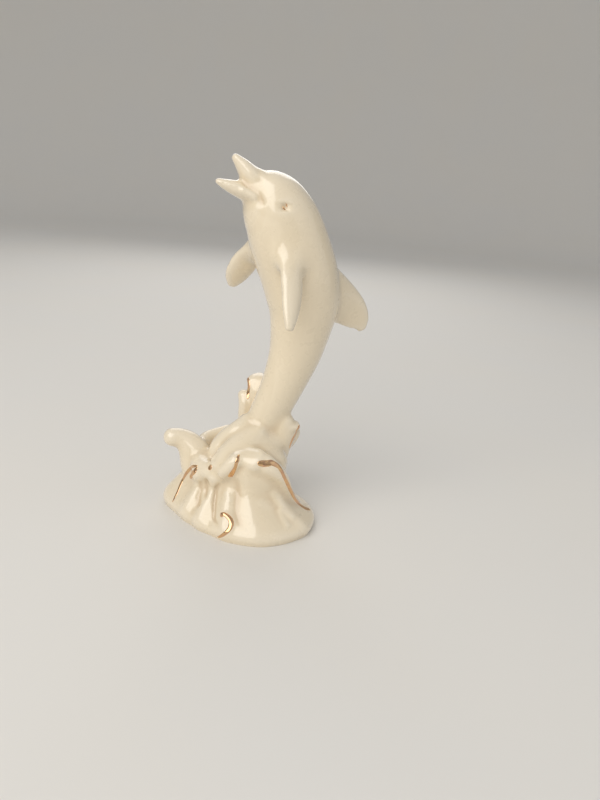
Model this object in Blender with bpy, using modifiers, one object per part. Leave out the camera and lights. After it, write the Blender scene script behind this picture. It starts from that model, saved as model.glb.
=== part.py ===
"""Dolphin leaping from a breaking wave: a porcelain figurine, slip-cast hollow and in one piece.

Blender units are metres, +Z up. The tables of stations below are in millimetres.
The origin is in the middle of the flat foot. The dolphin lies in the XZ plane, its belly to -X.
"""

import math

import bmesh
import bpy
from mathutils import Matrix, Vector

MM = 0.001

# Slip casting: the wall that builds up in the mould, and the hole that the slip drains through.
# Clay bridges the folds from inside, so the wave's hollow keeps that much more clear of its face.
WALL = 3.4
FOOT_WALL = 4.0
FOLD_ROOM = 1.2
DRAIN_DIAMETER = 7.0
DRAIN_PLACE = (11.0, 7.0)
DRAIN_SIDES = 32
GROUND_SIZE = 200.0

# Clay forms are fused at this grain, softened as glaze softens them, then kept in few faces.
CLAY_GRAIN = 0.95
GLAZE_PASSES = 4
FACES = 9800
CAVITY_GRAIN = 2.2
CAVITY_FACES = 1300
RING_SIDES = 24
RINGS_PER_STATION = 5

# Thinning out leaves slight facets, which are evened out again.
SETTLING = 0.3
SETTLING_PASSES = 2

# A form's tip is half a ball, in rings up to this many degrees from its rim.
TIP_RINGS = 4
TIP_TURN = 84.0

# Body from tail to forehead: x, z, half depth from belly to back, half width.
BODY = (
    (-1.0, 34.0, 4.6, 6.6),
    (3.0, 37.4, 6.0, 7.2),
    (7.9, 42.2, 8.4, 7.6),
    (12.0, 49.9, 9.4, 8.0),
    (17.0, 61.0, 10.3, 9.0),
    (20.7, 71.0, 11.4, 10.3),
    (23.4, 80.2, 12.7, 12.0),
    (25.0, 91.3, 14.5, 13.8),
    (25.4, 103.1, 16.8, 15.8),
    (22.4, 115.5, 17.7, 17.0),
    (17.2, 127.8, 17.6, 17.0),
    (12.3, 138.5, 16.6, 16.0),
    (7.4, 147.0, 14.0, 14.0),
    (2.8, 152.6, 9.8, 11.0),
    (-0.8, 155.8, 4.6, 7.5),
)

# The hollow runs from the wave up through the tail's root into the body: x, z, half sizes outside.
# In the wave itself it is no taller than this.
HOLLOW_ROOT = (
    (8.0, 14.0, 9.6, 9.6),
    (8.0, 26.0, 9.2, 9.2),
    (8.0, 35.0, 8.6, 8.4),
)
HOLLOW_HEIGHT = 20.0

# Open beak, from inside the head to each tip: x, z, half depth, half width.
UPPER_JAW = (
    (2.5, 152.5, 6.0, 8.0),
    (-4.2, 157.6, 4.2, 6.0),
    (-7.2, 160.6, 3.1, 4.4),
    (-10.4, 163.5, 1.7, 2.4),
)
LOWER_JAW = (
    (3.0, 146.5, 6.0, 10.5),
    (-2.6, 149.6, 4.6, 8.2),
    (-8.0, 151.2, 3.5, 5.6),
    (-13.2, 152.6, 2.5, 3.6),
    (-17.4, 153.9, 1.3, 1.9),
)
THROAT = (
    (9.0, 130.0, 8.0, 11.0),
    (3.6, 138.0, 8.0, 10.5),
    (0.2, 144.0, 6.2, 9.6),
    (-1.6, 148.6, 4.2, 8.0),
)

# Fins, root to tip: x, y, z, half chord, half thickness.
NEAR_FLIPPER = (
    (12.0, -8.5, 129.5, 7.4, 6.4),
    (10.6, -15.2, 123.8, 6.9, 4.6),
    (10.0, -18.6, 120.9, 6.5, 3.4),
    (9.2, -23.0, 113.5, 5.4, 2.7),
    (7.6, -27.5, 105.5, 4.0, 2.2),
    (6.2, -30.4, 99.6, 2.2, 1.5),
)
FAR_FLIPPER = (
    (9.6, 8.5, 129.5, 8.0, 6.4),
    (6.0, 15.2, 124.2, 8.0, 4.6),
    (4.4, 18.8, 121.4, 7.4, 3.4),
    (2.4, 23.7, 115.2, 6.6, 2.7),
    (1.1, 28.2, 109.6, 5.1, 2.2),
    (0.7, 30.7, 106.0, 2.7, 1.6),
)
DORSAL_FIN = (
    (29.0, 0.0, 108.0, 17.5, 12.5),
    (34.5, 0.0, 106.8, 15.4, 10.0),
    (41.0, 0.0, 104.8, 12.1, 6.8),
    (47.5, 0.0, 101.7, 9.5, 4.2),
    (52.6, 0.0, 97.8, 7.8, 2.7),
    (56.1, 0.0, 94.0, 5.6, 1.9),
    (57.9, 0.0, 90.6, 2.6, 1.3),
)
NEAR_FLUKE = (
    (6.0, -4.6, 41.4, 7.0, 5.6),
    (-0.2, -7.6, 39.2, 7.0, 4.8),
    (-6.6, -9.8, 36.8, 7.0, 4.2),
    (-12.6, -10.4, 33.4, 6.2, 3.7),
    (-15.6, -9.4, 30.4, 5.0, 3.2),
)
FAR_FLUKE = (
    (4.0, 2.6, 43.9, 6.4, 5.8),
    (-2.4, 0.6, 41.5, 5.8, 5.1),
    (-7.6, 1.4, 37.9, 5.6, 4.7),
    (-12.0, 1.6, 33.5, 4.8, 4.0),
    (-14.4, 1.2, 29.4, 3.4, 2.8),
)

# Plan of the wave: angle in degrees, radius at foot and waist, crown height, hollowness of the sweep.
WAVE_PLAN = (
    (-166.0, 30.6, 20.0, 24.0, 1.0),
    (-145.0, 30.6, 18.6, 26.0, 1.0),
    (-125.0, 32.2, 19.6, 29.0, 1.0),
    (-103.0, 36.2, 22.8, 32.0, 1.1),
    (-80.0, 39.6, 25.4, 33.0, 1.2),
    (-58.0, 40.6, 25.2, 32.0, 1.5),
    (-38.0, 38.4, 22.0, 30.0, 2.2),
    (-22.0, 34.8, 20.2, 30.0, 2.5),
    (-6.0, 30.0, 19.2, 32.0, 2.4),
    (12.0, 29.8, 18.4, 35.0, 2.0),
    (32.0, 32.8, 18.0, 36.0, 1.6),
    (52.0, 34.4, 18.0, 37.0, 1.3),
    (75.0, 33.8, 18.0, 35.0, 1.2),
    (105.0, 33.4, 19.5, 32.0, 1.0),
    (130.0, 35.6, 22.5, 30.0, 1.0),
    (155.0, 38.4, 27.0, 27.0, 1.0),
    (175.0, 33.0, 23.5, 26.0, 1.0),
)
FOOT_EDGE = 3.0
FOOT_ROUNDING = 1.2
BURIED = 5.0
WAIST_HEIGHT = 23.0
SWEEP_LEAN = 0.85
WAVE_RINGS = 26
WAVE_SIDES = 144

# Above its crown the wave's body closes in by two more rings, each by this share of its radius.
CROWN_RINGS = 2
CROWN_DRAW = 0.3

# Folds of water on the wave: angle at the foot and at the waist, height, half spread in degrees.
# Each swells from a tenth of its height at the foot, fully out half way up, and fades to the waist.
FOLD_FADE = 0.1
FOLDS = (
    (-171.0, -169.0, 1.8, 6.0),
    (-160.0, -159.0, -1.2, 3.5),
    (-150.0, -150.0, 1.6, 5.5),
    (-137.0, -141.0, -1.0, 4.0),
    (-121.0, -128.0, 2.4, 7.5),
    (-96.0, -104.0, 0.7, 6.0),
    (-72.0, -84.0, -1.4, 12.0),
    (-57.0, -70.0, 1.4, 5.0),
    (-16.0, -18.0, 0.8, 6.0),
    (8.0, 5.0, 1.2, 7.0),
    (32.0, 28.0, 2.0, 8.0),
    (60.0, 55.0, 2.4, 9.0),
    (90.0, 87.0, 1.8, 8.0),
    (122.0, 120.0, 2.4, 9.0),
    (150.0, 153.0, 1.2, 9.0),
)

# Curls and crests of the wave, root to tip: x, y, z, half width, half thickness.
LEFT_CURL = (
    (-18.0, 6.5, 16.0, 9.5, 7.0),
    (-20.0, 8.5, 22.2, 8.6, 6.6),
    (-21.4, 10.6, 27.8, 7.9, 6.0),
    (-24.0, 12.6, 31.8, 6.4, 5.4),
    (-27.4, 14.0, 34.1, 5.1, 4.8),
    (-31.2, 14.7, 34.9, 4.5, 4.4),
)
FIRST_KNUCKLE = (
    (-13.0, 1.0, 13.0, 6.0, 6.0),
    (-18.6, -0.8, 18.4, 5.2, 5.2),
    (-21.4, -2.2, 22.8, 4.4, 4.4),
)
SECOND_KNUCKLE = (
    (-9.0, -4.5, 16.0, 5.5, 5.5),
    (-14.0, -8.1, 20.4, 5.0, 5.0),
    (-15.9, -9.8, 24.2, 4.4, 4.4),
)
ROLLED_EDGE = (
    (-19.0, 6.0, 25.2, 5.4, 5.4),
    (-20.4, 0.5, 24.8, 4.8, 4.8),
    (-18.6, -5.2, 25.0, 4.6, 4.6),
    (-15.5, -9.4, 25.8, 4.2, 4.2),
)
THIRD_KNUCKLE = (
    (-8.0, -6.0, 22.0, 5.0, 6.0),
    (-13.4, -13.2, 27.4, 3.4, 3.7),
    (-12.0, -16.0, 31.6, 3.5, 3.7),
    (-8.6, -17.6, 35.8, 3.3, 3.5),
)
FOURTH_KNUCKLE = (
    (1.0, -9.0, 26.0, 8.0, 8.0),
    (0.2, -15.6, 31.0, 6.8, 7.0),
    (-0.9, -19.1, 34.6, 6.3, 6.2),
)
RIGHT_RIDGE = (
    (0.0, -17.0, 32.0, 6.4, 7.0),
    (2.9, -21.4, 33.0, 4.8, 5.8),
    (6.6, -22.9, 30.4, 4.0, 5.3),
    (10.0, -22.0, 25.8, 3.4, 5.6),
    (13.4, -20.0, 19.0, 3.2, 5.4),
    (17.6, -17.4, 11.4, 3.0, 5.0),
    (23.0, -16.2, 5.4, 2.8, 4.2),
    (29.4, -17.6, 2.6, 2.2, 2.6),
)
SHOULDER = (
    (4.0, -2.0, 33.5, 7.5, 9.0),
    (7.4, -9.6, 33.0, 7.0, 8.8),
    (10.0, -14.6, 30.0, 6.2, 8.0),
)
TALL_CREST = (
    (11.3, 9.8, 28.0, 9.8, 6.0),
    (12.0, 11.6, 40.0, 8.4, 5.0),
    (12.4, 12.8, 50.0, 7.4, 4.2),
    (12.2, 13.8, 56.4, 6.6, 3.8),
    (11.8, 15.6, 60.2, 6.0, 3.2),
    (11.4, 18.2, 61.4, 5.2, 2.6),
)
LOW_CREST = (
    (6.4, 12.2, 33.0, 5.5, 5.0),
    (5.7, 14.6, 43.0, 4.0, 3.6),
    (5.4, 15.8, 50.0, 3.4, 3.3),
    (4.9, 17.8, 53.0, 2.9, 2.8),
)
RIGHT_CREST = (
    (12.6, -2.6, 29.0, 8.0, 9.2),
    (14.9, -3.2, 36.0, 7.6, 8.4),
    (17.5, -3.4, 42.0, 6.6, 7.6),
    (17.4, -3.4, 46.0, 5.6, 6.6),
    (16.8, -3.2, 49.0, 4.4, 5.0),
)
RIGHT_LIP = (
    (17.0, -3.4, 42.6, 6.5, 4.4),
    (21.0, -4.4, 44.2, 5.6, 3.0),
    (24.4, -5.2, 44.4, 4.4, 2.0),
)
RIGHT_LOBE = (
    (19.5, -1.2, 31.5, 4.5, 4.0),
    (23.4, -2.4, 36.0, 3.6, 3.2),
    (25.4, -3.4, 39.6, 2.6, 2.5),
)
BACK_WALL = (
    (-18.0, 12.5, 26.4, 6.4, 5.5),
    (-13.0, 17.2, 29.2, 5.8, 4.2),
    (-5.5, 18.0, 31.2, 5.4, 3.8),
    (2.0, 16.4, 32.6, 6.0, 4.2),
    (8.0, 12.0, 33.0, 8.0, 5.0),
)
BACK_CREST = (
    (15.0, 5.0, 26.0, 8.0, 6.0),
    (19.5, 8.0, 33.0, 6.4, 5.0),
    (22.5, 10.0, 38.0, 5.4, 4.0),
    (25.2, 11.6, 40.2, 4.4, 3.2),
    (28.0, 13.2, 39.6, 3.2, 2.4),
)

FULL_TURN = 360.0
UP = (0.0, 0.0, 1.0)
FORE_AND_AFT = (1.0, 0.0, 0.0)
ALONG_LEFT_CURL = (0.5, -0.2, 0.8)
ACROSS_FLIPPERS = (0.93, 0.35, 0.1)
ACROSS_DORSAL_FIN = (-0.13, 0.0, 0.99)
ACROSS_FLUKES = (-0.3, -0.8, -0.5)
ACROSS_KNUCKLES = (0.55, -0.83, 0.0)
ACROSS_TALL_CREST = (0.91, -0.42, 0.0)
ACROSS_RIGHT_CREST = (0.42, 0.91, 0.0)
ACROSS_RIDGE = (0.75, 0.65, 0.1)


def mirrored(direction):
    """The same direction on the dolphin's other side."""
    return (direction[0], -direction[1], direction[2])


def smooth_between(before, start, end, after, t):
    """Catmull-Rom through the four rows of numbers, t from start to end."""
    return tuple(
        b + 0.5 * t * (c - a + t * (2 * a - 5 * b + 4 * c - d + t * (3 * (b - c) + d - a)))
        for a, b, c, d in zip(before, start, end, after)
    )


def smooth_stations(stations):
    """The stations with smooth ones set between them."""
    padded = [stations[0], *stations, stations[-1]]
    made = []
    for group in zip(padded, padded[1:], padded[2:], padded[3:]):
        made += [smooth_between(*group, step / RINGS_PER_STATION) for step in range(RINGS_PER_STATION)]
    return [*made, stations[-1]]


def ring_frames(stations, across):
    """For each station, the matrix that carries a unit circle to its oval."""
    centres = [Vector(station[:3]) for station in stations]
    frames = []
    for i, station in enumerate(stations):
        along = (centres[min(i + 1, len(centres) - 1)] - centres[max(i - 1, 0)]).normalized()
        thin = along.cross(Vector(across)).normalized()
        wide = thin.cross(along).normalized()
        frame = Matrix((wide * station[3], thin * station[4], wide.cross(thin))).transposed().to_4x4()
        frame.translation = centres[i]
        frames.append(frame)
    return frames


def rounded_off(frames):
    """The frames, and further ones that close the last oval as half a ball."""
    last = frames[-1]
    outward = (last.translation - frames[-2].translation).normalized()
    reach = min(last.col[0].length, last.col[1].length)
    made = list(frames)
    for ring in range(1, TIP_RINGS + 1):
        turn = math.radians(TIP_TURN) * ring / TIP_RINGS
        cap = last @ Matrix.Diagonal((math.cos(turn), math.cos(turn), 1, 1))
        cap.translation = last.translation + outward * reach * math.sin(turn)
        made.append(cap)
    return made


def add_loft(bm, stations, across):
    """An oval ring extruded through the stations into a closed form with a round tip."""
    frames = rounded_off(ring_frames(smooth_stations(stations), across))
    verts = bmesh.ops.create_circle(bm, cap_ends=True, segments=RING_SIDES, radius=1.0)["verts"]
    edges = list({edge for vert in verts for edge in vert.link_edges})
    bmesh.ops.transform(bm, matrix=frames[0], verts=verts)
    for before, after in zip(frames, frames[1:]):
        made = bmesh.ops.extrude_edge_only(bm, edges=edges)["geom"]
        verts = [item for item in made if isinstance(item, bmesh.types.BMVert)]
        edges = [item for item in made if isinstance(item, bmesh.types.BMEdge)]
        bmesh.ops.transform(bm, matrix=after @ before.inverted(), verts=verts)
    bmesh.ops.contextual_create(bm, geom=edges)


def sagittal(stations, inset=0.0):
    """Stations of x, z and two half sizes, put in the dolphin's own plane and shrunk by the inset."""
    return [(x, 0.0, z, deep - inset, wide - inset) for x, z, deep, wide in stations if deep > inset]


def wave_plan(angle):
    """The plan's four values at any angle."""
    count = len(WAVE_PLAN)
    for i in range(count):
        start, end = WAVE_PLAN[i], WAVE_PLAN[(i + 1) % count]
        span = (end[0] - start[0]) % FULL_TURN
        past = (angle - start[0]) % FULL_TURN
        if past < span:
            before, after = WAVE_PLAN[i - 1], WAVE_PLAN[(i + 2) % count]
            return smooth_between(before[1:], start[1:], end[1:], after[1:], past / span)
    return WAVE_PLAN[0][1:]


def turn_between(start, end):
    """Degrees from one angle to the other, the shorter way round."""
    turn = (end - start) % FULL_TURN
    return turn - FULL_TURN if turn > FULL_TURN / 2 else turn


def rise_to_waist(height):
    """0 at the foot's edge, 1 at the waist and above."""
    return min(1.0, max(0.0, (height - FOOT_EDGE) / (WAIST_HEIGHT - FOOT_EDGE)))


def wave_radius(angle, height, folds):
    """The wave's face: a rounded foot that sweeps in to the waist, with folds of water on it."""
    foot, waist, _, hollowness = wave_plan(angle)
    rise = rise_to_waist(height)
    sweep = (1 + math.cos(math.pi * rise**SWEEP_LEAN)) / 2
    radius = waist + (foot - waist) * sweep**hollowness
    if height < FOOT_EDGE:
        radius -= FOOT_ROUNDING * (1 - height / FOOT_EDGE) ** 2
    for at_foot, at_waist, tall, spread in folds:
        crest = at_foot + turn_between(at_foot, at_waist) * rise
        swell = math.sin(math.pi * (FOLD_FADE + (1 - 2 * FOLD_FADE) * rise))
        radius += tall * swell * math.exp(-((turn_between(crest, angle) / spread) ** 2))
    return radius


def add_wave(bm, floor, inset, folds, tallest):
    """The wave's body: rings drawn up from the floor to the crown, then in to a hollow at its middle."""
    verts = bmesh.ops.create_circle(bm, cap_ends=True, segments=WAVE_SIDES, radius=1.0)["verts"]
    edges = list({edge for vert in verts for edge in vert.link_edges})
    for ring in range(WAVE_RINGS + CROWN_RINGS + 1):
        if ring:
            made = bmesh.ops.extrude_edge_only(bm, edges=edges)["geom"]
            verts = [item for item in made if isinstance(item, bmesh.types.BMVert)]
            edges = [item for item in made if isinstance(item, bmesh.types.BMEdge)]
        draw_in = 1.0 - CROWN_DRAW * max(0, ring - WAVE_RINGS)
        for vert in verts:
            angle = math.atan2(vert.co.y, vert.co.x)
            crown = min(tallest, wave_plan(math.degrees(angle))[2])
            height = floor + (crown - floor) * min(1.0, ring / WAVE_RINGS)
            radius = wave_radius(math.degrees(angle), max(height, 0.0), folds) - inset
            vert.co = (radius * draw_in * math.cos(angle), radius * draw_in * math.sin(angle), height)
    bmesh.ops.contextual_create(bm, geom=edges)


def new_object(name, bm, collection):
    """Makes a mesh object of the forms, from millimetres to metres, faces outwards."""
    bmesh.ops.scale(bm, vec=(MM, MM, MM), verts=bm.verts)
    bmesh.ops.recalc_face_normals(bm, faces=bm.faces)
    mesh = bpy.data.meshes.new(name)
    bm.to_mesh(mesh)
    bm.free()
    made = bpy.data.objects.new(name, mesh)
    collection.objects.link(made)
    return made


def fuse(made, grain, passes, faces):
    """Fuses overlapping forms into one skin, smooths it and thins it out to a number of faces."""
    remesh = made.modifiers.new("fuse", "REMESH")
    remesh.mode = "VOXEL"
    remesh.voxel_size = grain * MM
    smooth = made.modifiers.new("soften", "SMOOTH")
    smooth.iterations = passes
    graph = bpy.context.evaluated_depsgraph_get()
    skin = bpy.data.meshes.new_from_object(made.evaluated_get(graph), depsgraph=graph)
    made.modifiers.clear()
    made.data = skin
    fill_pockets(skin)
    thin_out = made.modifiers.new("thin out", "DECIMATE")
    thin_out.ratio = faces / sum(len(polygon.vertices) - 2 for polygon in skin.polygons)
    settle = made.modifiers.new("settle", "SMOOTH")
    settle.factor = SETTLING
    settle.iterations = SETTLING_PASSES


def fill_pockets(skin):
    """Keeps the outermost skin only, so that no air is left shut in between the forms."""
    bm = bmesh.new()
    bm.from_mesh(skin)
    shells = []
    unseen = set(bm.verts)
    while unseen:
        shell = [unseen.pop()]
        for vert in shell:
            near = {edge.other_vert(vert) for edge in vert.link_edges} & unseen
            unseen -= near
            shell += near
        shells.append(shell)
    shells.sort(key=len)
    bmesh.ops.delete(bm, geom=[vert for shell in shells[:-1] for vert in shell], context="VERTS")
    bm.to_mesh(skin)
    bm.free()


def cut(body, cutter):
    """Takes the cutter's form out of the body."""
    cutter.hide_render = True
    cutter.display_type = "WIRE"
    boolean = body.modifiers.new(cutter.name, "BOOLEAN")
    boolean.operation = "DIFFERENCE"
    boolean.solver = "EXACT"
    boolean.object = cutter


def model_outside():
    """Every outer form of the figurine, overlapping where they are one piece of clay."""
    bm = bmesh.new()
    add_loft(bm, sagittal(BODY), FORE_AND_AFT)
    add_loft(bm, sagittal(UPPER_JAW), UP)
    add_loft(bm, sagittal(LOWER_JAW), UP)
    add_loft(bm, sagittal(THROAT), FORE_AND_AFT)
    add_loft(bm, NEAR_FLIPPER, ACROSS_FLIPPERS)
    add_loft(bm, FAR_FLIPPER, mirrored(ACROSS_FLIPPERS))
    add_loft(bm, DORSAL_FIN, ACROSS_DORSAL_FIN)
    add_loft(bm, NEAR_FLUKE, ACROSS_FLUKES)
    add_loft(bm, FAR_FLUKE, mirrored(ACROSS_FLUKES))
    add_wave(bm, floor=-BURIED, inset=0.0, folds=FOLDS, tallest=math.inf)
    add_loft(bm, LEFT_CURL, ALONG_LEFT_CURL)
    add_loft(bm, ROLLED_EDGE, UP)
    for knuckle in (FIRST_KNUCKLE, SECOND_KNUCKLE, THIRD_KNUCKLE, FOURTH_KNUCKLE):
        add_loft(bm, knuckle, ACROSS_KNUCKLES)
    add_loft(bm, RIGHT_RIDGE, ACROSS_RIDGE)
    add_loft(bm, SHOULDER, UP)
    add_loft(bm, TALL_CREST, ACROSS_TALL_CREST)
    add_loft(bm, LOW_CREST, ACROSS_TALL_CREST)
    add_loft(bm, RIGHT_CREST, ACROSS_RIGHT_CREST)
    add_loft(bm, RIGHT_LIP, ACROSS_RIGHT_CREST)
    add_loft(bm, RIGHT_LOBE, ACROSS_RIGHT_CREST)
    add_loft(bm, BACK_CREST, mirrored(ACROSS_RIGHT_CREST))
    add_loft(bm, BACK_WALL, UP)
    return bm


def model_cavity():
    """The hollow that is left when the slip is poured out: body and wave, a wall's thickness inside."""
    bm = bmesh.new()
    add_loft(bm, sagittal((*HOLLOW_ROOT, *BODY[2:-2]), WALL), FORE_AND_AFT)
    add_wave(bm, floor=FOOT_WALL, inset=WALL + FOLD_ROOM, folds=(), tallest=HOLLOW_HEIGHT)
    return bm


def glazed_porcelain():
    material = bpy.data.materials.new("ivory porcelain")
    material.use_nodes = True
    shader = material.node_tree.nodes["Principled BSDF"]
    shader.inputs["Base Color"].default_value = (0.80, 0.72, 0.58, 1.0)
    shader.inputs["Roughness"].default_value = 0.16
    shader.inputs["Metallic"].default_value = 0.0
    shader.inputs["Coat Weight"].default_value = 0.6
    return material


def main():
    for old in list(bpy.data.objects):
        bpy.data.objects.remove(old)
    parts = bpy.data.collections.new("dolphin figurine")
    cutters = bpy.data.collections.new("cutters")
    bpy.context.scene.collection.children.link(parts)
    bpy.context.scene.collection.children.link(cutters)

    figurine = new_object("dolphin_figurine", model_outside(), parts)
    figurine.data.materials.append(glazed_porcelain())
    fuse(figurine, CLAY_GRAIN, GLAZE_PASSES, FACES)

    cavity = new_object("cast cavity", model_cavity(), cutters)
    fuse(cavity, CAVITY_GRAIN, GLAZE_PASSES, CAVITY_FACES)
    cut(figurine, cavity)

    ground = bmesh.new()
    bmesh.ops.create_cube(ground, size=GROUND_SIZE)
    bmesh.ops.translate(ground, vec=(0.0, 0.0, -GROUND_SIZE / 2), verts=ground.verts)
    cut(figurine, new_object("ground flat", ground, cutters))

    drain = bmesh.new()
    bmesh.ops.create_cone(
        drain,
        cap_ends=True,
        segments=DRAIN_SIDES,
        radius1=DRAIN_DIAMETER / 2,
        radius2=DRAIN_DIAMETER / 2,
        depth=4 * FOOT_WALL,
    )
    bmesh.ops.translate(drain, vec=(*DRAIN_PLACE, 0.0), verts=drain.verts)
    cut(figurine, new_object("drain hole", drain, cutters))


main()
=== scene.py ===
import math

import bmesh
import bpy
import numpy as np
from mathutils import Matrix, Vector
from mathutils.bvhtree import BVHTree


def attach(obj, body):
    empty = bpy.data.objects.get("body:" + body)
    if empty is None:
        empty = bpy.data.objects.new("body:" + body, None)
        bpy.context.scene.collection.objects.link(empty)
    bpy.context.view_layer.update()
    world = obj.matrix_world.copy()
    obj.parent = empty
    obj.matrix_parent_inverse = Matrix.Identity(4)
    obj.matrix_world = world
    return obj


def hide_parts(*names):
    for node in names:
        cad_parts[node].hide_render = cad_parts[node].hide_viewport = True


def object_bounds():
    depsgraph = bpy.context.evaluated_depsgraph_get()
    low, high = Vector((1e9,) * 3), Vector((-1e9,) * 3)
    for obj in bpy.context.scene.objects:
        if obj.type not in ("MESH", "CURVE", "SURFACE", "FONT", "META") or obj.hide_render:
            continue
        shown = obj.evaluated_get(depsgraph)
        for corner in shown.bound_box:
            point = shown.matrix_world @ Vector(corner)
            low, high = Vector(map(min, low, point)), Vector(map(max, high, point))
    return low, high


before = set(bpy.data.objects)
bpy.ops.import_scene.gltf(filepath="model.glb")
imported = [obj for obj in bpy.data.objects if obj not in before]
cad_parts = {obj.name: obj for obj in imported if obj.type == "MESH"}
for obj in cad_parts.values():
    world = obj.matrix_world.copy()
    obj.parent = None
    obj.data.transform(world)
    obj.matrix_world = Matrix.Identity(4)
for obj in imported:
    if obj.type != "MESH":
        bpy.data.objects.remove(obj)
cad_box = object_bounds()

# The view: a hand-held camera 0.29 m away, at the height of the dolphin's beak, that looks down on
# the figurine from its left and a little from the front, and is tilted by a few degrees.
MM = 0.001
CAMERA_PLACE = (-98.0, -269.9, 163.5)
CAMERA_TURN = -25.0
CAMERA_LOOKS_DOWN = 20.0
CAMERA_ROLL = 5.0
SENSOR = 36.0
PICTURE_WIDTH = 600.0
PICTURE_HEIGHT = 800.0
FOCAL_LENGTH_IN_PIXELS = 650.0

camera = bpy.data.objects.new("camera", bpy.data.cameras.new("camera"))
bpy.context.scene.collection.objects.link(camera)
camera.data.sensor_width = SENSOR
camera.data.lens = SENSOR * FOCAL_LENGTH_IN_PIXELS / PICTURE_HEIGHT
camera.data.clip_start = 0.01
camera.matrix_world = (
    Matrix.Translation(Vector(CAMERA_PLACE) * MM)
    @ Matrix.Rotation(math.radians(CAMERA_TURN), 4, "Z")
    @ Matrix.Rotation(math.radians(90 - CAMERA_LOOKS_DOWN), 4, "X")
    @ Matrix.Rotation(math.radians(CAMERA_ROLL), 4, "Z")
)
bpy.context.scene.camera = camera
bpy.context.scene.view_settings.view_transform = "Standard"


# The body: the trunk of the clay model, from the tail's root up to the forehead, drawn through oval
# sections. Each station gives x, z, half depth from belly to back and half width, in millimetres.
# Every form of the model goes into one bmesh, in millimetres, and overlaps its neighbours.
BODY = (
    (-1.0, 34.0, 4.6, 6.6),
    (3.0, 37.4, 6.0, 7.2),
    (7.9, 42.2, 8.4, 7.6),
    (12.0, 49.9, 9.4, 8.0),
    (17.0, 61.0, 10.3, 9.0),
    (20.7, 71.0, 11.4, 10.3),
    (23.4, 80.2, 12.7, 12.0),
    (25.0, 91.3, 14.5, 13.8),
    (25.4, 103.1, 16.8, 15.8),
    (22.4, 115.5, 17.7, 17.0),
    (17.2, 127.8, 17.6, 17.0),
    (12.3, 138.5, 16.6, 16.0),
    (7.4, 147.0, 14.0, 14.0),
    (2.8, 152.6, 9.8, 11.0),
    (-0.8, 155.8, 4.6, 7.5),
)
RING_SIDES = 48
RINGS_PER_STATION = 8
TIP_RINGS = 5
TIP_TURN = 84.0
UP = (0.0, 0.0, 1.0)
FORE_AND_AFT = (1.0, 0.0, 0.0)


def smooth_between(before, start, end, after, t):
    """Catmull-Rom through the four rows of numbers, t from start to end."""
    return tuple(
        b + 0.5 * t * (c - a + t * (2 * a - 5 * b + 4 * c - d + t * (3 * (b - c) + d - a)))
        for a, b, c, d in zip(before, start, end, after)
    )


def smooth_stations(stations, steps):
    """The stations with smooth ones set between them."""
    padded = [stations[0], *stations, stations[-1]]
    made = []
    for group in zip(padded, padded[1:], padded[2:], padded[3:]):
        made += [smooth_between(*group, step / steps) for step in range(steps)]
    return [*made, stations[-1]]


def ring_frames(stations, across):
    """For each station, the matrix that carries a unit circle to its oval."""
    centres = [Vector(station[:3]) for station in stations]
    frames = []
    for i, station in enumerate(stations):
        along = (centres[min(i + 1, len(centres) - 1)] - centres[max(i - 1, 0)]).normalized()
        thin = along.cross(Vector(across)).normalized()
        wide = thin.cross(along).normalized()
        placed = Matrix((wide * station[3], thin * station[4], wide.cross(thin))).transposed().to_4x4()
        placed.translation = centres[i]
        frames.append(placed)
    return frames


def rounded_off(frames):
    """The frames, and further ones that close the last oval as half a ball."""
    last = frames[-1]
    outward = (last.translation - frames[-2].translation).normalized()
    reach = min(last.col[0].length, last.col[1].length)
    made = list(frames)
    for ring in range(1, TIP_RINGS + 1):
        turn = math.radians(TIP_TURN) * ring / TIP_RINGS
        cap = last @ Matrix.Diagonal((math.cos(turn), math.cos(turn), 1, 1))
        cap.translation = last.translation + outward * reach * math.sin(turn)
        made.append(cap)
    return made


def put_in(clay, form):
    """Adds a finished form to the clay."""
    mesh = bpy.data.meshes.new("form")
    form.to_mesh(mesh)
    form.free()
    clay.from_mesh(mesh)
    bpy.data.meshes.remove(mesh)


def next_ring(form, edges):
    """Extrudes the last ring's edges, and gives the new ring's corners and edges."""
    made = bmesh.ops.extrude_edge_only(form, edges=edges)["geom"]
    verts = [item for item in made if isinstance(item, bmesh.types.BMVert)]
    return verts, [item for item in made if isinstance(item, bmesh.types.BMEdge)]


def add_loft(clay, stations, across):
    """An oval ring extruded through the stations into a closed form with a round tip."""
    form = bmesh.new()
    frames = rounded_off(ring_frames(smooth_stations(stations, RINGS_PER_STATION), across))
    verts = bmesh.ops.create_circle(form, cap_ends=True, segments=RING_SIDES, radius=1.0)["verts"]
    edges = list({edge for vert in verts for edge in vert.link_edges})
    bmesh.ops.transform(form, matrix=frames[0], verts=verts)
    for before, after in zip(frames, frames[1:]):
        verts, edges = next_ring(form, edges)
        bmesh.ops.transform(form, matrix=after @ before.inverted(), verts=verts)
    bmesh.ops.contextual_create(form, geom=edges)
    put_in(clay, form)


def sagittal(stations, inset=0.0):
    """Stations of x, z and two half sizes, put in the dolphin's own plane and shrunk by the inset."""
    return [(x, 0.0, z, deep - inset, wide - inset) for x, z, deep, wide in stations if deep > inset]


def mirrored(place):
    """The same place or direction on the dolphin's other side."""
    return (place[0], -place[1], place[2])


clay = bmesh.new()
add_loft(clay, sagittal(BODY), FORE_AND_AFT)


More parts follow.
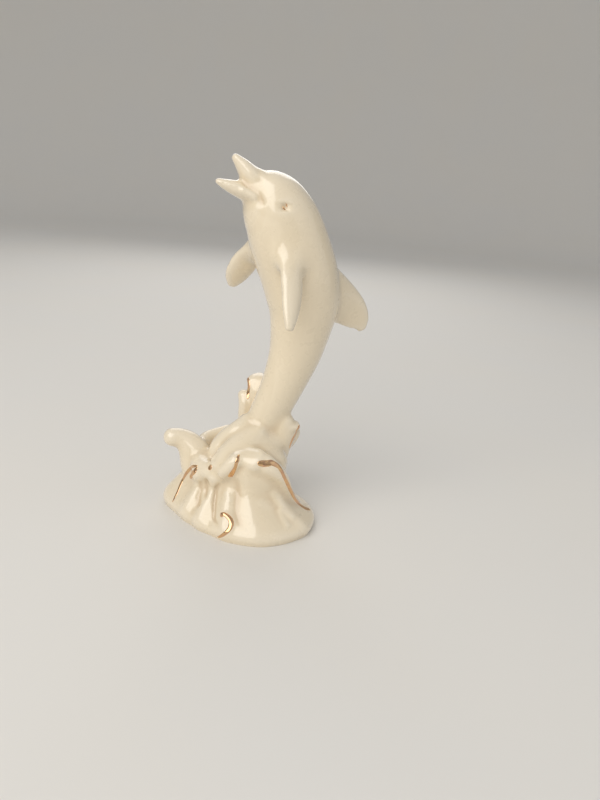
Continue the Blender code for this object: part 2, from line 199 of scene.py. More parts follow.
# The beak: two jaws, open by about 60 degrees, each a tapering finger of clay set on the head, and
# the throat's fullness that the lower jaw runs into.
UPPER_JAW = (
    (2.5, 152.5, 6.0, 8.0),
    (-4.2, 157.6, 4.2, 6.0),
    (-7.2, 160.6, 3.1, 4.4),
    (-10.4, 163.5, 1.7, 2.4),
)
LOWER_JAW = (
    (3.0, 146.5, 6.0, 10.5),
    (-2.6, 149.6, 4.6, 8.2),
    (-8.0, 151.2, 3.5, 5.6),
    (-13.2, 152.6, 2.5, 3.6),
    (-17.4, 153.9, 1.3, 1.9),
)
THROAT = (
    (9.0, 130.0, 8.0, 11.0),
    (3.6, 138.0, 8.0, 10.5),
    (0.2, 144.0, 6.2, 9.6),
    (-1.6, 148.6, 4.2, 8.0),
)
add_loft(clay, sagittal(UPPER_JAW), UP)
add_loft(clay, sagittal(LOWER_JAW), UP)
add_loft(clay, sagittal(THROAT), FORE_AND_AFT)


# The fins: two flippers that hang from the flanks and the fin on the back, each a flat oval blade
# with a round edge. Their stations give x, y, z, half chord and half thickness, root to tip.
NEAR_FLIPPER = (
    (12.0, -8.5, 129.5, 7.4, 6.4),
    (10.6, -15.2, 123.8, 6.9, 4.6),
    (10.0, -18.6, 120.9, 6.5, 3.4),
    (9.2, -23.0, 113.5, 5.4, 2.7),
    (7.6, -27.5, 105.5, 4.0, 2.2),
    (6.2, -30.4, 99.6, 2.2, 1.5),
)
FAR_FLIPPER = (
    (9.6, 8.5, 129.5, 8.0, 6.4),
    (6.0, 15.2, 124.2, 8.0, 4.6),
    (4.4, 18.8, 121.4, 7.4, 3.4),
    (2.4, 23.7, 115.2, 6.6, 2.7),
    (1.1, 28.2, 109.6, 5.1, 2.2),
    (0.7, 30.7, 106.0, 2.7, 1.6),
)
DORSAL_FIN = (
    (29.0, 0.0, 108.0, 17.5, 12.5),
    (34.5, 0.0, 106.8, 15.4, 10.0),
    (41.0, 0.0, 104.8, 12.1, 6.8),
    (47.5, 0.0, 101.7, 9.5, 4.2),
    (52.6, 0.0, 97.8, 7.8, 2.7),
    (56.1, 0.0, 94.0, 5.6, 1.9),
    (57.9, 0.0, 90.6, 2.6, 1.3),
)
ACROSS_FLIPPERS = (0.93, 0.35, 0.1)
ACROSS_DORSAL_FIN = (-0.13, 0.0, 0.99)
add_loft(clay, NEAR_FLIPPER, ACROSS_FLIPPERS)
add_loft(clay, FAR_FLIPPER, mirrored(ACROSS_FLIPPERS))
add_loft(clay, DORSAL_FIN, ACROSS_DORSAL_FIN)


# The flukes: the tail parts in two thick lobes that lie on the wave and sink into it.
NEAR_FLUKE = (
    (6.0, -4.6, 41.4, 7.0, 5.6),
    (-0.2, -7.6, 39.2, 7.0, 4.8),
    (-6.6, -9.8, 36.8, 7.0, 4.2),
    (-12.6, -10.4, 33.4, 6.2, 3.7),
    (-15.6, -9.4, 30.4, 5.0, 3.2),
)
FAR_FLUKE = (
    (4.0, 2.6, 43.9, 6.4, 5.8),
    (-2.4, 0.6, 41.5, 5.8, 5.1),
    (-7.6, 1.4, 37.9, 5.6, 4.7),
    (-12.0, 1.6, 33.5, 4.8, 4.0),
    (-14.4, 1.2, 29.4, 3.4, 2.8),
)
ACROSS_FLUKES = (-0.3, -0.8, -0.5)
add_loft(clay, NEAR_FLUKE, ACROSS_FLUKES)
add_loft(clay, FAR_FLUKE, mirrored(ACROSS_FLUKES))


# The wave's body: a heap of water that sweeps in from a rounded foot to a waist, with folds drawn up
# its face. The plan gives, for an angle in degrees, the radius at the foot and at the waist, the crown's
# height and the sweep's hollowness; a fold, its angles at foot and waist, its height and half spread.
WAVE_PLAN = (
    (-166.0, 30.6, 20.0, 24.0, 1.0),
    (-145.0, 30.6, 18.6, 26.0, 1.0),
    (-125.0, 32.2, 19.6, 29.0, 1.0),
    (-103.0, 36.2, 22.8, 32.0, 1.1),
    (-80.0, 39.6, 25.4, 33.0, 1.2),
    (-58.0, 40.6, 25.2, 32.0, 1.5),
    (-38.0, 38.4, 22.0, 30.0, 2.2),
    (-22.0, 34.8, 20.2, 30.0, 2.5),
    (-6.0, 30.0, 19.2, 32.0, 2.4),
    (12.0, 29.8, 18.4, 35.0, 2.0),
    (32.0, 32.8, 18.0, 36.0, 1.6),
    (52.0, 34.4, 18.0, 37.0, 1.3),
    (75.0, 33.8, 18.0, 35.0, 1.2),
    (105.0, 33.4, 19.5, 32.0, 1.0),
    (130.0, 35.6, 22.5, 30.0, 1.0),
    (155.0, 38.4, 27.0, 27.0, 1.0),
    (175.0, 33.0, 23.5, 26.0, 1.0),
)
FOLDS = (
    (-171.0, -169.0, 1.8, 6.0),
    (-160.0, -159.0, -1.2, 3.5),
    (-150.0, -150.0, 1.6, 5.5),
    (-137.0, -141.0, -1.0, 4.0),
    (-121.0, -128.0, 2.4, 7.5),
    (-96.0, -104.0, 0.7, 6.0),
    (-72.0, -84.0, -1.4, 12.0),
    (-57.0, -70.0, 1.4, 5.0),
    (-16.0, -18.0, 0.8, 6.0),
    (8.0, 5.0, 1.2, 7.0),
    (32.0, 28.0, 2.0, 8.0),
    (60.0, 55.0, 2.4, 9.0),
    (90.0, 87.0, 1.8, 8.0),
    (122.0, 120.0, 2.4, 9.0),
    (150.0, 153.0, 1.2, 9.0),
)
FOLD_FADE = 0.1
FOOT_EDGE = 3.0
FOOT_ROUNDING = 1.2
BURIED = 5.0
WAIST_HEIGHT = 23.0
SWEEP_LEAN = 0.85
WAVE_RINGS = 40
WAVE_SIDES = 240
CROWN_RINGS = 2
CROWN_DRAW = 0.3
FULL_TURN = 360.0


def wave_plan(angle):
    """The plan's four values at any angle."""
    count = len(WAVE_PLAN)
    for i in range(count):
        start, end = WAVE_PLAN[i], WAVE_PLAN[(i + 1) % count]
        span = (end[0] - start[0]) % FULL_TURN
        past = (angle - start[0]) % FULL_TURN
        if past < span:
            before, after = WAVE_PLAN[i - 1], WAVE_PLAN[(i + 2) % count]
            return smooth_between(before[1:], start[1:], end[1:], after[1:], past / span)
    return WAVE_PLAN[0][1:]


def turn_between(start, end):
    """Degrees from one angle to the other, the shorter way round."""
    turn = (end - start) % FULL_TURN
    return turn - FULL_TURN if turn > FULL_TURN / 2 else turn


def wave_radius(angle, height, folds):
    """The wave's face: a rounded foot that sweeps in to the waist, with folds of water on it."""
    foot, waist, _, hollowness = wave_plan(angle)
    rise = min(1.0, max(0.0, (height - FOOT_EDGE) / (WAIST_HEIGHT - FOOT_EDGE)))
    sweep = (1 + math.cos(math.pi * rise**SWEEP_LEAN)) / 2
    radius = waist + (foot - waist) * sweep**hollowness
    if height < FOOT_EDGE:
        radius -= FOOT_ROUNDING * (1 - height / FOOT_EDGE) ** 2
    for at_foot, at_waist, tall, spread in folds:
        crest = at_foot + turn_between(at_foot, at_waist) * rise
        swell = math.sin(math.pi * (FOLD_FADE + (1 - 2 * FOLD_FADE) * rise))
        radius += tall * swell * math.exp(-((turn_between(crest, angle) / spread) ** 2))
    return radius


def add_wave(clay, floor, inset, folds, tallest):
    """The wave's body: rings drawn up from the floor to the crown, then in to a hollow at its middle."""
    form = bmesh.new()
    verts = bmesh.ops.create_circle(form, cap_ends=True, segments=WAVE_SIDES, radius=1.0)["verts"]
    edges = list({edge for vert in verts for edge in vert.link_edges})
    for ring in range(WAVE_RINGS + CROWN_RINGS + 1):
        if ring:
            verts, edges = next_ring(form, edges)
        draw_in = 1.0 - CROWN_DRAW * max(0, ring - WAVE_RINGS)
        for vert in verts:
            angle = math.atan2(vert.co.y, vert.co.x)
            crown = min(tallest, wave_plan(math.degrees(angle))[2])
            height = floor + (crown - floor) * min(1.0, ring / WAVE_RINGS)
            radius = wave_radius(math.degrees(angle), max(height, 0.0), folds) - inset
            vert.co = (radius * draw_in * math.cos(angle), radius * draw_in * math.sin(angle), height)
    bmesh.ops.contextual_create(form, geom=edges)
    put_in(clay, form)


add_wave(clay, floor=-BURIED, inset=0.0, folds=FOLDS, tallest=math.inf)


# The breaking edge: the curl that rolls out on the left, the rolled edge below it with four knuckles
# of foam, and the ridge that runs from them round the right side down to the foot. Each station gives
# x, y, z, half width and half thickness, root to tip.
LEFT_CURL = (
    (-18.0, 6.5, 16.0, 9.5, 7.0),
    (-20.0, 8.5, 22.2, 8.6, 6.6),
    (-21.4, 10.6, 27.8, 7.9, 6.0),
    (-24.0, 12.6, 31.8, 6.4, 5.4),
    (-27.4, 14.0, 34.1, 5.1, 4.8),
    (-31.2, 14.7, 34.9, 4.5, 4.4),
)
FIRST_KNUCKLE = (
    (-13.0, 1.0, 13.0, 6.0, 6.0),
    (-18.6, -0.8, 18.4, 5.2, 5.2),
    (-21.4, -2.2, 22.8, 4.4, 4.4),
)
SECOND_KNUCKLE = (
    (-9.0, -4.5, 16.0, 5.5, 5.5),
    (-14.0, -8.1, 20.4, 5.0, 5.0),
    (-15.9, -9.8, 24.2, 4.4, 4.4),
)
ROLLED_EDGE = (
    (-19.0, 6.0, 25.2, 5.4, 5.4),
    (-20.4, 0.5, 24.8, 4.8, 4.8),
    (-18.6, -5.2, 25.0, 4.6, 4.6),
    (-15.5, -9.4, 25.8, 4.2, 4.2),
)
THIRD_KNUCKLE = (
    (-8.0, -6.0, 22.0, 5.0, 6.0),
    (-13.4, -13.2, 27.4, 3.4, 3.7),
    (-12.0, -16.0, 31.6, 3.5, 3.7),
    (-8.6, -17.6, 35.8, 3.3, 3.5),
)
FOURTH_KNUCKLE = (
    (1.0, -9.0, 26.0, 8.0, 8.0),
    (0.2, -15.6, 31.0, 6.8, 7.0),
    (-0.9, -19.1, 34.6, 6.3, 6.2),
)
RIGHT_RIDGE = (
    (0.0, -17.0, 32.0, 6.4, 7.0),
    (2.9, -21.4, 33.0, 4.8, 5.8),
    (6.6, -22.9, 30.4, 4.0, 5.3),
    (10.0, -22.0, 25.8, 3.4, 5.6),
    (13.4, -20.0, 19.0, 3.2, 5.4),
    (17.6, -17.4, 11.4, 3.0, 5.0),
    (23.0, -16.2, 5.4, 2.8, 4.2),
    (29.4, -17.6, 2.6, 2.2, 2.6),
)
ALONG_LEFT_CURL = (0.5, -0.2, 0.8)
ACROSS_KNUCKLES = (0.55, -0.83, 0.0)
ACROSS_RIDGE = (0.75, 0.65, 0.1)
add_loft(clay, LEFT_CURL, ALONG_LEFT_CURL)
add_loft(clay, ROLLED_EDGE, UP)
for knuckle in (FIRST_KNUCKLE, SECOND_KNUCKLE, THIRD_KNUCKLE, FOURTH_KNUCKLE):
    add_loft(clay, knuckle, ACROSS_KNUCKLES)
add_loft(clay, RIGHT_RIDGE, ACROSS_RIDGE)


# The crests: tongues of water that stand up round the tail, a wall of it at the back that joins them,
# and the shoulder between the flukes and the ridge.
SHOULDER = (
    (4.0, -2.0, 33.5, 7.5, 9.0),
    (7.4, -9.6, 33.0, 7.0, 8.8),
    (10.0, -14.6, 30.0, 6.2, 8.0),
)
TALL_CREST = (
    (11.3, 9.8, 28.0, 9.8, 6.0),
    (12.0, 11.6, 40.0, 8.4, 5.0),
    (12.4, 12.8, 50.0, 7.4, 4.2),
    (12.2, 13.8, 56.4, 6.6, 3.8),
    (11.8, 15.6, 60.2, 6.0, 3.2),
    (11.4, 18.2, 61.4, 5.2, 2.6),
)
LOW_CREST = (
    (6.4, 12.2, 33.0, 5.5, 5.0),
    (5.7, 14.6, 43.0, 4.0, 3.6),
    (5.4, 15.8, 50.0, 3.4, 3.3),
    (4.9, 17.8, 53.0, 2.9, 2.8),
)
RIGHT_CREST = (
    (12.6, -2.6, 29.0, 8.0, 9.2),
    (14.9, -3.2, 36.0, 7.6, 8.4),
    (17.5, -3.4, 42.0, 6.6, 7.6),
    (17.4, -3.4, 46.0, 5.6, 6.6),
    (16.8, -3.2, 49.0, 4.4, 5.0),
)
RIGHT_LIP = (
    (17.0, -3.4, 42.6, 6.5, 4.4),
    (21.0, -4.4, 44.2, 5.6, 3.0),
    (24.4, -5.2, 44.4, 4.4, 2.0),
)
RIGHT_LOBE = (
    (19.5, -1.2, 31.5, 4.5, 4.0),
    (23.4, -2.4, 36.0, 3.6, 3.2),
    (25.4, -3.4, 39.6, 2.6, 2.5),
)
BACK_CREST = (
    (15.0, 5.0, 26.0, 8.0, 6.0),
    (19.5, 8.0, 33.0, 6.4, 5.0),
    (22.5, 10.0, 38.0, 5.4, 4.0),
    (25.2, 11.6, 40.2, 4.4, 3.2),
    (28.0, 13.2, 39.6, 3.2, 2.4),
)
BACK_WALL = (
    (-18.0, 12.5, 26.4, 6.4, 5.5),
    (-13.0, 17.2, 29.2, 5.8, 4.2),
    (-5.5, 18.0, 31.2, 5.4, 3.8),
    (2.0, 16.4, 32.6, 6.0, 4.2),
    (8.0, 12.0, 33.0, 8.0, 5.0),
)
ACROSS_TALL_CREST = (0.91, -0.42, 0.0)
ACROSS_RIGHT_CREST = (0.42, 0.91, 0.0)
add_loft(clay, SHOULDER, UP)
add_loft(clay, TALL_CREST, ACROSS_TALL_CREST)
add_loft(clay, LOW_CREST, ACROSS_TALL_CREST)
add_loft(clay, RIGHT_CREST, ACROSS_RIGHT_CREST)
add_loft(clay, RIGHT_LIP, ACROSS_RIGHT_CREST)
add_loft(clay, RIGHT_LOBE, ACROSS_RIGHT_CREST)
add_loft(clay, BACK_CREST, mirrored(ACROSS_RIGHT_CREST))
add_loft(clay, BACK_WALL, UP)


# The casting: one skin of porcelain over all those forms, which slip leaves in the mould. The grain
# is the size of the skin's faces, and the passes soften its inner corners as the glaze does.
SKIN_GRAIN = 0.66
SKIN_PASSES = 6


def new_object(name, bm):
    """Makes a mesh object of the forms, from millimetres to metres, faces outwards."""
    bmesh.ops.scale(bm, vec=(MM, MM, MM), verts=bm.verts)
    bmesh.ops.recalc_face_normals(bm, faces=bm.faces)
    if bm.calc_volume(signed=True) < 0:
        bmesh.ops.reverse_faces(bm, faces=bm.faces)
    mesh = bpy.data.meshes.new(name)
    bm.to_mesh(mesh)
    bm.free()
    made = bpy.data.objects.new(name, mesh)
    bpy.context.scene.collection.objects.link(made)
    return made


def applied(made):
    """The object's mesh with its modifiers worked out, and the modifiers removed."""
    graph = bpy.context.evaluated_depsgraph_get()
    skin = bpy.data.meshes.new_from_object(made.evaluated_get(graph), depsgraph=graph)
    made.modifiers.clear()
    made.data = skin


def outer_shell_only(bm):
    """Keeps the outermost skin only, so that no air is left shut in between the forms."""
    shells = []
    unseen = set(bm.verts)
    while unseen:
        shell = [unseen.pop()]
        for vert in shell:
            near = {edge.other_vert(vert) for edge in vert.link_edges} & unseen
            unseen -= near
            shell += near
        shells.append(shell)
    shells.sort(key=len)
    bmesh.ops.delete(bm, geom=[vert for shell in shells[:-1] for vert in shell], context="VERTS")


def fuse(made, grain, passes):
    """Fuses overlapping forms into one skin and smooths it."""
    remesh = made.modifiers.new("fuse", "REMESH")
    remesh.mode = "VOXEL"
    remesh.voxel_size = grain * MM
    smooth = made.modifiers.new("soften", "SMOOTH")
    smooth.iterations = passes
    applied(made)
    bm = bmesh.new()
    bm.from_mesh(made.data)
    outer_shell_only(bm)
    bm.to_mesh(made.data)
    bm.free()


figurine = new_object("porcelain_dolphin", clay)
fuse(figurine, SKIN_GRAIN, SKIN_PASSES)


# The modelling: the clay is sponged even, its inner corners run smooth, and a few places are rubbed (x,
# y, z and radius). Then the modeller's lines are drawn: each gives its height in millimetres, below 0
# where it is pressed in, its half width, and its route in pixels across and down the photograph.
EVENING_PASSES = 24
EVENED_IN = 0.5
EVENED_OUT = -0.53
FILLING_PASSES = 60
FILLED_BEND = 0.05
RUBBING_PASSES = 200
RUBBED_PLACES = (
    (9.0, -16.5, 128.0, 8.5),
    (7.0, 16.5, 128.0, 8.5),
    (10.0, -12.5, 39.0, 4.0),
    (-5.0, -20.0, 41.0, 4.0),
)
FADED_SHARE = 0.25
HEAD_LINES = (
    (-0.6, 1.5, ((241.0, 180.0), (247.0, 186.0), (257.0, 193.0), (261.0, 199.0), (263.0, 206.0))),
    (0.5, 1.3, ((240.0, 187.0), (249.0, 192.0), (256.0, 199.0))),
    (-0.4, 1.6, ((261.0, 169.5), (260.5, 176.0), (261.0, 183.0))),
    (-1.1, 2.2, ((285.4, 202.0), (285.2, 206.4), (285.0, 210.8))),
)
WAVE_LINES = (
    (-0.9, 1.0, (
        (219.5, 482.4), (215.7, 488.8), (214.4, 500.3), (213.8, 510.0), (213.8, 519.4), (218.9, 525.8),
    )),
    (0.35, 1.2, ((226.0, 490.0), (228.0, 497.0), (231.0, 503.0))),
    (0.6, 1.3, (
        (220.3, 515.6), (223.4, 514.5), (228.8, 518.7), (231.4, 525.0), (229.0, 531.0), (222.7, 535.2),
    )),
    (-0.6, 1.4, ((199.8, 480.0), (199.8, 488.5), (198.0, 498.0), (198.0, 508.0))),
    (-0.5, 1.2, ((206.0, 478.0), (206.0, 488.0), (205.0, 500.0))),
    (-0.5, 2.0, ((236.5, 478.0), (238.0, 494.0), (237.0, 513.0), (244.0, 530.0))),
    (0.6, 1.8, ((272.0, 490.0), (281.0, 505.0), (288.0, 514.0), (296.0, 519.0))),
    (0.5, 1.6, ((279.0, 508.0), (283.0, 517.0), (290.0, 528.5))),
)
RAY_TRIES = 4


def neighbour_means(points, edges):
    """The middle of each point's neighbours."""
    here, there = np.concatenate((edges, edges[:, ::-1])).T
    count = np.bincount(here, minlength=len(points))
    sums = [np.bincount(here, weights=column[there], minlength=len(points)) for column in points.T]
    return np.stack(sums, axis=1) / count[:, None]


def mesh_arrays(mesh):
    """The mesh's points and normals, in millimetres, and its edges."""
    points = np.empty(len(mesh.vertices) * 3)
    normals = np.empty(len(mesh.vertices) * 3)
    edges = np.empty(len(mesh.edges) * 2, dtype=np.int32)
    mesh.vertices.foreach_get("co", points)
    mesh.vertices.foreach_get("normal", normals)
    mesh.edges.foreach_get("vertices", edges)
    return points.reshape(-1, 3) / MM, normals.reshape(-1, 3), edges.reshape(-1, 2)


def bend(points, normals, edges):
    """How far each point lies inside its neighbours' middle: above 0 in an inner corner."""
    return np.einsum("ij,ij->i", neighbour_means(points, edges) - points, normals)


def line_share(points, half_width, route):
    """1 on the line, fading out beside it over its half width and along it towards its ends."""
    places = np.array(smooth_stations(route, RINGS_PER_STATION))
    nearest = np.full(len(points), np.inf)
    along = np.zeros(len(points))
    for i, (start, end) in enumerate(zip(places, places[1:])):
        run = end - start
        share = np.clip((points - start) @ run / (run @ run), 0.0, 1.0)
        gap = np.linalg.norm(points - start - share[:, None] * run, axis=1)
        closer = gap < nearest
        nearest[closer] = gap[closer]
        along[closer] = (i + share[closer]) / (len(places) - 1)
    faded = np.clip(np.minimum(along, 1.0 - along) / FADED_SHARE, 0.0, 1.0)
    return np.exp(-((nearest / half_width) ** 2)) * np.sin(faded * math.pi / 2)


def skin_tree(mesh):
    """The skin's faces, in millimetres, for finding places on it."""
    corners = [vert.co / MM for vert in mesh.vertices]
    return BVHTree.FromPolygons(corners, [polygon.vertices[:] for polygon in mesh.polygons])


def seen_place(skin, across, down):
    """The place on the skin that the photograph shows at a pixel, or else the one nearest to its ray."""
    eye = Vector(CAMERA_PLACE)
    right = (across - PICTURE_WIDTH / 2) / FOCAL_LENGTH_IN_PIXELS
    up = (PICTURE_HEIGHT / 2 - down) / FOCAL_LENGTH_IN_PIXELS
    ray = (camera.matrix_world.to_3x3() @ Vector((right, up, -1.0))).normalized()
    place = skin.ray_cast(eye, ray)[0]
    if place is None:
        place = eye + ray * eye.length
        for _ in range(RAY_TRIES):
            place = skin.find_nearest(eye + ray * ray.dot(place - eye))[0]
    return tuple(place)


def model_line(mesh, height, half_width, route):
    """Raises a line on the skin, or presses it in."""
    points, normals, _ = mesh_arrays(mesh)
    rise = height * line_share(points, half_width, route)
    mesh.vertices.foreach_set("co", ((points + normals * rise[:, None]) * MM).ravel())
    mesh.update()


def rub_even(mesh, x, y, z, radius):
    """Evens out the skin round a place."""
    points, _, edges = mesh_arrays(mesh)
    rubbed = np.exp(-((np.linalg.norm(points - (x, y, z), axis=1) / radius) ** 2))[:, None]
    for _ in range(RUBBING_PASSES):
        points += (neighbour_means(points, edges) - points) * rubbed
    mesh.vertices.foreach_set("co", (points * MM).ravel())
    mesh.update()


def even_out(mesh, passes):
    """Takes small ripples out of the skin and keeps its size: each step in is followed by one out."""
    points, _, edges = mesh_arrays(mesh)
    for step in (EVENED_IN, EVENED_OUT) * passes:
        points += (neighbour_means(points, edges) - points) * step
    mesh.vertices.foreach_set("co", (points * MM).ravel())
    mesh.update()


def fill_corners(mesh, passes):
    """Lets the inner corners run smooth and leaves what is round outwards as it is."""
    for _ in range(passes):
        points, normals, edges = mesh_arrays(mesh)
        middle = neighbour_means(points, edges)
        inward = np.clip(np.einsum("ij,ij->i", middle - points, normals) / FILLED_BEND, 0.0, 1.0)
        mesh.vertices.foreach_set("co", ((points + (middle - points) * inward[:, None]) * MM).ravel())
        mesh.update()


even_out(figurine.data, EVENING_PASSES)
fill_corners(figurine.data, FILLING_PASSES)
for place in RUBBED_PLACES:
    rub_even(figurine.data, *place)
clay_skin = skin_tree(figurine.data)
for tall, half_width, seen in HEAD_LINES:
    route = [seen_place(clay_skin, *pixel) for pixel in seen]
    model_line(figurine.data, tall, half_width, route)
    model_line(figurine.data, tall, half_width, [mirrored(place) for place in route])
for tall, half_width, seen in WAVE_LINES:
    model_line(figurine.data, tall, half_width, [seen_place(clay_skin, *pixel) for pixel in seen])


# The flat foot and the hollow: the foot is ground flat, the slip's wall is a few millimetres thick,
# and what was left over was poured out through a hole in the foot. The skin shrinks in firing until
# it stands nowhere beyond the solid part.
WALL = 3.4
FOOT_WALL = 4.0
FOLD_ROOM = 1.2
DRAIN_DIAMETER = 7.0
DRAIN_PLACE = (11.0, 7.0)
DRAIN_SIDES = 64
DRAIN_REACH = 4 * FOOT_WALL
GROUND_SIZE = 200.0
HOLLOW_ROOT = (
    (8.0, 14.0, 9.6, 9.6),
    (8.0, 26.0, 9.2, 9.2),
    (8.0, 35.0, 8.6, 8.4),
)
HOLLOW_HEIGHT = 20.0
HOLLOW_GRAIN = 1.5
HOLLOW_PASSES = 6


def cut(body, cutter):
    """Takes the cutter's form out of the body."""
    boolean = body.modifiers.new(cutter.name, "BOOLEAN")
    boolean.operation = "DIFFERENCE"
    boolean.solver = "EXACT"
    boolean.object = cutter
    applied(body)
    bpy.data.objects.remove(cutter)


hollow = bmesh.new()
add_loft(hollow, sagittal((*HOLLOW_ROOT, *BODY[2:-2]), WALL), FORE_AND_AFT)
add_wave(hollow, floor=FOOT_WALL, inset=WALL + FOLD_ROOM, folds=(), tallest=HOLLOW_HEIGHT)
cast_hollow = new_object("cast hollow", hollow)
fuse(cast_hollow, HOLLOW_GRAIN, HOLLOW_PASSES)
cut(figurine, cast_hollow)

ground = bmesh.new()
bmesh.ops.create_cube(ground, size=GROUND_SIZE)
bmesh.ops.translate(ground, vec=(0.0, 0.0, -GROUND_SIZE / 2), verts=ground.verts)
cut(figurine, new_object("ground flat", ground))

drain = bmesh.new()
bmesh.ops.create_cone(
    drain,
    cap_ends=True,
    segments=DRAIN_SIDES,
    radius1=DRAIN_DIAMETER / 2,
    radius2=DRAIN_DIAMETER / 2,
    depth=DRAIN_REACH,
)
bmesh.ops.translate(drain, vec=(*DRAIN_PLACE, 0.0), verts=drain.verts)
cut(figurine, new_object("drain hole", drain))

points, _, _ = mesh_arrays(figurine.data)
lowest, highest = points.min(axis=0) * MM, points.max(axis=0) * MM
shrunk_wide, shrunk_deep = (
    min(1.0, cad_box[0][axis] / lowest[axis], cad_box[1][axis] / highest[axis]) for axis in (0, 1)
)
shrunk_tall = min(1.0, cad_box[1].z / highest[2])
figurine.data.transform(Matrix.Diagonal((shrunk_wide, shrunk_deep, shrunk_tall, 1.0)))
for polygon in figurine.data.polygons:
    polygon.use_smooth = True
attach(figurine, "root")
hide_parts("dolphin_figurine")


# The glaze: ivory porcelain under a clear gloss, with painted shade that makes it deeper and warmer in
# inner corners and painted light that makes it paler on the edges. The foot's flat rim is wiped clean
# and stays matt.
IVORY = (0.79, 0.68, 0.50)
# Painted shade: the darker, warmer colour put in inner corners; the bare foot's stains use it too.
PAINTED_SHADE_AND_STAIN_IVORY = (0.62, 0.48, 0.31)
# Painted light: the pale ivory put on the rounded edges; the glaze's random clouds and the paper's
# clouds use it too.
PALE_IVORY_AND_PAINTED_LIGHT = (0.84, 0.75, 0.60)
BARE_BODY = (0.82, 0.78, 0.70)
# How the painted shade and painted light follow the bend of the skin.
PAINTED_SHADE_BEND = 0.02
PAINTED_SHADE_SPREAD = 12
PAINTED_SHADE_FROM = 0.55
PAINTED_SHADE_SHARE = 0.75
PAINTED_LIGHT_FROM = 0.45
PAINTED_LIGHT_SHARE = 0.6
GLAZE_CLOUDS = 30.0
CLOUD_SHARE = 0.12
GLAZE_GRAIN = 220.0
GLAZE_ROUGHNESS = 0.24
GLAZE_ROUGHNESS_RANGE = 0.08
GLAZE_RIPPLES = 120.0
RIPPLE_STRENGTH = 0.1
RIPPLE_HEIGHT = 0.2
BARE_GRAIN = 3000.0
BARE_GRAIN_STRENGTH = 0.3
BARE_GRAIN_HEIGHT = 0.1
BARE_ROUGHNESS = 0.7
BARE_ROUGHNESS_RANGE = 0.1
BARE_STAINS = 90.0
STAIN_SHARE = 0.5
NOISE_DETAIL = 2.0
FACING_DOWN = -0.9
RIM_HEIGHT = 0.2


class Value:
    """A socket of a material's nodes, which sums and products of it turn into Math nodes."""

    def __init__(self, finish, socket):
        self.finish = finish
        self.socket = socket

    def math(self, operation, first, second):
        return self.finish.node("Math", {"operation": operation}, {0: first, 1: second})

    def __add__(self, other):
        return self.math("ADD", self, other)

    def __mul__(self, other):
        return self.math("MULTIPLY", self, other)


class Finish:
    """A material and the nodes that its look is worked out by."""

    def __init__(self, name):
        self.material = bpy.data.materials.new(name)
        self.material.use_nodes = True
        self.shader = self.material.node_tree.nodes["Principled BSDF"]

    def node(self, kind, settings=None, inputs=None, output=0):
        made = self.material.node_tree.nodes.new("ShaderNode" + kind)
        for name, value in (settings or {}).items():
            setattr(made, name, value)
        for name, value in (inputs or {}).items():
            self.put(made.inputs[name], value)
        return Value(self, made.outputs[output])

    def put(self, socket, value):
        if isinstance(value, Value):
            self.material.node_tree.links.new(value.socket, socket)
        else:
            socket.default_value = value

    def blend(self, share, first, second):
        """From the first colour to the second, by a share from 0 to 1."""
        colours = {"Factor": share, 6: colour(first), 7: colour(second)}
        return self.node("Mix", {"data_type": "RGBA"}, colours, output=2)

    def set(self, **sockets):
        for name, value in sockets.items():
            self.put(self.shader.inputs[name.replace("_", " ")], value)


def colour(value):
    """A colour with its fourth number, or a socket as it is."""
    return value if isinstance(value, Value) else (*value, 1.0)


def noise(finish, scale):
    """Cloudy shares from 0 to 1, in so many clouds a metre."""
    place = finish.node("TexCoord", output="Object")
    return finish.node("TexNoise", inputs={"Vector": place, "Scale": scale, "Detail": NOISE_DETAIL})


def bumps(finish, strength, height, heights):
    """The surface's normals, tilted by heights from 0 to 1 that stand for so many millimetres."""
    inputs = {"Strength": strength, "Distance": height * MM, "Height": heights}
    return finish.node("Bump", inputs=inputs)


# Painted shade and painted light: each point's bend into an inner corner, spread over its neighbours, is
# kept on the skin as a share from 0 to 1.
points, normals, edges = mesh_arrays(figurine.data)
painted_shading = bend(points, normals, edges) / PAINTED_SHADE_BEND
for _ in range(PAINTED_SHADE_SPREAD):
    spread = np.stack((painted_shading, painted_shading, painted_shading), axis=1)
    painted_shading = (painted_shading + neighbour_means(spread, edges)[:, 0]) / 2
painted_shading_values = figurine.data.attributes.new("painted_shading", "FLOAT", "POINT")
painted_shading_values.data.foreach_set("value", np.clip(0.5 + painted_shading / 2, 0.0, 1.0))

glaze = Finish("ivory glaze")
depth = glaze.node("Attribute", {"attribute_name": "painted_shading"}, output="Fac")
# Painted shade deepens the colour in inner corners.
painted_shade = glaze.node("MapRange", inputs={"Value": depth, "From Min": PAINTED_SHADE_FROM, "From Max": 1.0})
# Painted light pales the colour on the rounded edges.
painted_light = glaze.node("MapRange", inputs={"Value": depth, "From Min": PAINTED_LIGHT_FROM, "From Max": 0.0})
ivory = glaze.blend(noise(glaze, GLAZE_CLOUDS) * CLOUD_SHARE, IVORY, PALE_IVORY_AND_PAINTED_LIGHT)
ivory = glaze.blend(painted_shade * PAINTED_SHADE_SHARE, ivory, PAINTED_SHADE_AND_STAIN_IVORY)
ivory = glaze.blend(painted_light * PAINTED_LIGHT_SHARE, ivory, PALE_IVORY_AND_PAINTED_LIGHT)
glaze.set(
    Base_Color=ivory,
    Roughness=noise(glaze, GLAZE_GRAIN) * GLAZE_ROUGHNESS_RANGE + GLAZE_ROUGHNESS,
    Coat_Weight=1.0,
    Coat_Roughness=0.03,
    Coat_IOR=1.5,
    Normal=bumps(glaze, RIPPLE_STRENGTH, RIPPLE_HEIGHT, noise(glaze, GLAZE_RIPPLES)),
)
bare = Finish("bare porcelain")
grain = noise(bare, BARE_GRAIN)
